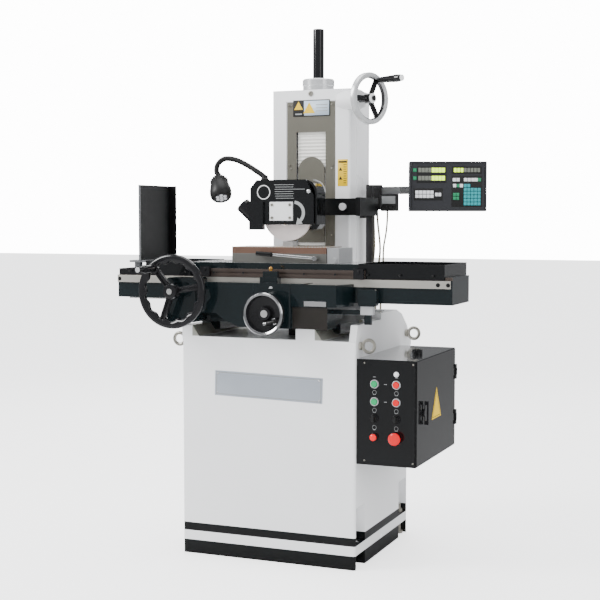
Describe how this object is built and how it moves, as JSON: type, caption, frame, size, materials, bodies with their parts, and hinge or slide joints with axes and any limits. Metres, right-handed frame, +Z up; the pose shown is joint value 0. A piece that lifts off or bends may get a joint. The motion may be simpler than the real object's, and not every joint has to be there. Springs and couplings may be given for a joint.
{
  "type": "surface grinder",
  "caption": "Manual surface grinder on a cast pedestal, with a magnetic chuck, handwheels, wheel head on a column, read-out and control cabinet.",
  "frame": {"origin": "centre of the pedestal's footprint, on the floor", "axes": "+Z up, +X to the operator's right along the table, +Y from the operator towards the column"},
  "size_m": [1.212, 0.8433, 1.83],
  "materials": {
    "casting_enamel": "glossy off-white enamel",
    "black_enamel": "gloss black enamel",
    "green_black_enamel": "gloss blue-black enamel",
    "stainless": "brushed stainless",
    "ground_steel": "ground steel",
    "handwheel_black": "gloss black",
    "chrome": "polished chrome",
    "bronze": "machined bronze",
    "grip_plastic": "moulded black",
    "green_button": "moulded green",
    "red_button": "moulded red",
    "abrasive": "vitrified abrasive",
    "cable_sheath": "armoured sheath"
  },
  "bodies": {
    "root": {"base_casting": "casting_enamel", "levelling_feet": "ground_steel", "eye_bolts": "ground_steel", "column_casting": "casting_enamel", "column_front_cover": "stainless", "column_covers": "casting_enamel", "handwheel_boss": "casting_enamel", "screw_flange": "ground_steel", "screw_cover_tube": "handwheel_black", "cross_nut": "bronze", "control_cabinet": "black_enamel", "control_panel": "black_enamel", "dro_arm": "black_enamel", "scale_cables": "cable_sheath"},
    "saddle": {"saddle_casting": "green_black_enamel", "saddle_apron": "green_black_enamel", "drive_housing": "green_black_enamel", "x_scale_reader": "black_enamel"},
    "pinion": {"pinion_shaft": "ground_steel"},
    "table_handwheel": {"table_handwheel": "handwheel_black", "handwheel_shaft": "ground_steel"},
    "table_grip": {"table_grip": "grip_plastic"},
    "cross_feed": {"cross_handwheel": "handwheel_black", "cross_screw": "ground_steel"},
    "cross_crank": {"cross_crank": "chrome"},
    "table": {"table_casting": "green_black_enamel", "table_trays": "black_enamel", "x_scale": "ground_steel", "magnetic_chuck": "ground_steel", "dresser_block": "ground_steel", "splash_guard": "black_enamel", "drive_rack": "ground_steel"},
    "left_stop_dog": {"left_stop_dog": "black_enamel"},
    "right_stop_dog": {"right_stop_dog": "black_enamel"},
    "chuck_lever": {"chuck_lever": "chrome"},
    "head": {"head_slide": "casting_enamel", "shield_plate": "stainless", "spindle_housing": "stainless", "spindle_motor": "ground_steel", "guard_body": "black_enamel", "guard_cover": "black_enamel", "dust_port": "black_enamel", "z_scale": "black_enamel", "elevating_screw": "ground_steel"},
    "spindle": {"spindle": "stainless", "grinding_wheel": "abrasive"},
    "work_lamp": {"work_lamp": "handwheel_black"},
    "elevating_nut": {"elevating_nut": "bronze"},
    "elevating_handwheel": {"elevating_handwheel": "ground_steel"},
    "elevating_grip": {"elevating_grip": "grip_plastic"},
    "wheel_start_button": {"wheel_start_button": "green_button"},
    "pump_start_button": {"pump_start_button": "green_button"},
    "wheel_stop_button": {"wheel_stop_button": "red_button"},
    "pump_stop_button": {"pump_stop_button": "red_button"},
    "light_selector": {"light_selector": "grip_plastic"},
    "chuck_selector": {"chuck_selector": "grip_plastic"},
    "emergency_button": {"emergency_button": "red_button"},
    "cabinet_door": {"cabinet_door": "black_enamel"},
    "door_lock": {"door_lock": "black_enamel"},
    "dro_display": {"dro_display": "handwheel_black"}
  },
  "joints": [
    {"name": "saddle_slide", "type": "slide", "parent": "root", "child": "saddle", "axis": [0, 1, 0], "range_m": [-0.13, 0.06]},
    {"name": "table_slide", "type": "slide", "parent": "saddle", "child": "table", "axis": [1, 0, 0], "range_m": [-0.24, 0.21]},
    {"name": "pinion_turn", "type": "hinge", "parent": "saddle", "child": "pinion", "pos_m": [-0.304, -0.26, 0.854], "axis": [0, 1, 0], "range_deg": [-900, 900]},
    {"name": "table_handwheel_turn", "type": "hinge", "parent": "saddle", "child": "table_handwheel", "pos_m": [-0.304, -0.372, 0.906], "axis": [0, 1, 0], "range_deg": [-900, 900]},
    {"name": "table_grip_spin", "type": "hinge", "parent": "table_handwheel", "child": "table_grip", "pos_m": [-0.36699, -0.43, 0.98107], "axis": [0, 1, 0], "continuous": true},
    {"name": "cross_feed_turn", "type": "hinge", "parent": "saddle", "child": "cross_feed", "pos_m": [0.04, -0.404, 0.842], "axis": [0, 1, 0], "range_deg": [-9500, 4500]},
    {"name": "crank_fold", "type": "hinge", "parent": "cross_feed", "child": "cross_crank", "pos_m": [0.08, -0.394, 0.819], "axis": [-0.2609, 0, 0.9654], "range_deg": [0, 90]},
    {"name": "left_dog_slide", "type": "slide", "parent": "table", "child": "left_stop_dog", "axis": [-1, 0, 0], "range_m": [-0.15, 0]},
    {"name": "right_dog_slide", "type": "slide", "parent": "table", "child": "right_stop_dog", "axis": [-1, 0, 0], "range_m": [0, 0.15]},
    {"name": "chuck_lever_turn", "type": "hinge", "parent": "table", "child": "chuck_lever", "pos_m": [0.137, -0.19, 1.016], "axis": [0, 1, 0], "range_deg": [0, 172]},
    {"name": "head_slide", "type": "slide", "parent": "root", "child": "head", "axis": [0, 0, 1], "range_m": [0, 0.21]},
    {"name": "spindle_spin", "type": "hinge", "parent": "head", "child": "spindle", "pos_m": [0, -0.096, 1.162], "axis": [0, 1, 0], "continuous": true},
    {"name": "lamp_swivel", "type": "hinge", "parent": "head", "child": "work_lamp", "pos_m": [-0.085, -0.1, 1.285], "axis": [0, 0, 1], "range_deg": [-40, 40]},
    {"name": "elevating_nut_turn", "type": "hinge", "parent": "root", "child": "elevating_nut", "pos_m": [0, 0.189, 1.566], "axis": [0, 0, 1], "range_deg": [-50, 19500]},
    {"name": "elevating_handwheel_turn", "type": "hinge", "parent": "root", "child": "elevating_handwheel", "pos_m": [0.23047, 0.09212, 1.566], "axis": [0.9219, -0.3875, 0], "range_deg": [-100, 39000]},
    {"name": "elevating_grip_spin", "type": "hinge", "parent": "elevating_handwheel", "child": "elevating_grip", "pos_m": [0.24393, 0.12415, 1.63134], "axis": [0.9219, -0.3875, 0], "continuous": true},
    {"name": "wheel_start_button_press", "type": "slide", "parent": "root", "child": "wheel_start_button", "axis": [0, 1, 0], "range_m": [0, 0.004], "stiffness_N_per_m": 400},
    {"name": "pump_start_button_press", "type": "slide", "parent": "root", "child": "pump_start_button", "axis": [0, 1, 0], "range_m": [0, 0.004], "stiffness_N_per_m": 400},
    {"name": "wheel_stop_button_press", "type": "slide", "parent": "root", "child": "wheel_stop_button", "axis": [0, 1, 0], "range_m": [0, 0.004], "stiffness_N_per_m": 400},
    {"name": "pump_stop_button_press", "type": "slide", "parent": "root", "child": "pump_stop_button", "axis": [0, 1, 0], "range_m": [0, 0.004], "stiffness_N_per_m": 400},
    {"name": "light_selector_turn", "type": "hinge", "parent": "root", "child": "light_selector", "pos_m": [0.376, -0.271, 0.505], "axis": [0, 1, 0], "range_deg": [-45, 45]},
    {"name": "chuck_selector_turn", "type": "hinge", "parent": "root", "child": "chuck_selector", "pos_m": [0.45, -0.271, 0.505], "axis": [0, 1, 0], "range_deg": [-45, 45]},
    {"name": "emergency_button_press", "type": "slide", "parent": "root", "child": "emergency_button", "axis": [0, 1, 0], "range_m": [0, 0.006], "stiffness_N_per_m": 600},
    {"name": "door_swing", "type": "hinge", "parent": "root", "child": "cabinet_door", "pos_m": [0.5185, 0.196, 0.52], "axis": [0, 0, 1], "range_deg": [0, 110]},
    {"name": "door_lock_turn", "type": "hinge", "parent": "cabinet_door", "child": "door_lock", "pos_m": [0.5175, -0.19, 0.52], "axis": [1, 0, 0], "range_deg": [0, 90]},
    {"name": "dro_swivel", "type": "hinge", "parent": "root", "child": "dro_display", "pos_m": [0.445, 0.315, 1.25], "axis": [0, 0, 1], "range_deg": [-20, 25]}
  ],
  "couplings": [
    {"joint": "pinion_turn", "follows": "table_slide", "rad_per_m": 62.5},
    {"joint": "table_handwheel_turn", "follows": "table_slide", "rad_per_m": -62.5},
    {"joint": "cross_feed_turn", "follows": "saddle_slide", "rad_per_m": 1256.6},
    {"joint": "elevating_nut_turn", "follows": "head_slide", "rad_per_m": 1570.8},
    {"joint": "elevating_handwheel_turn", "follows": "head_slide", "rad_per_m": 3141.6}
  ]
}
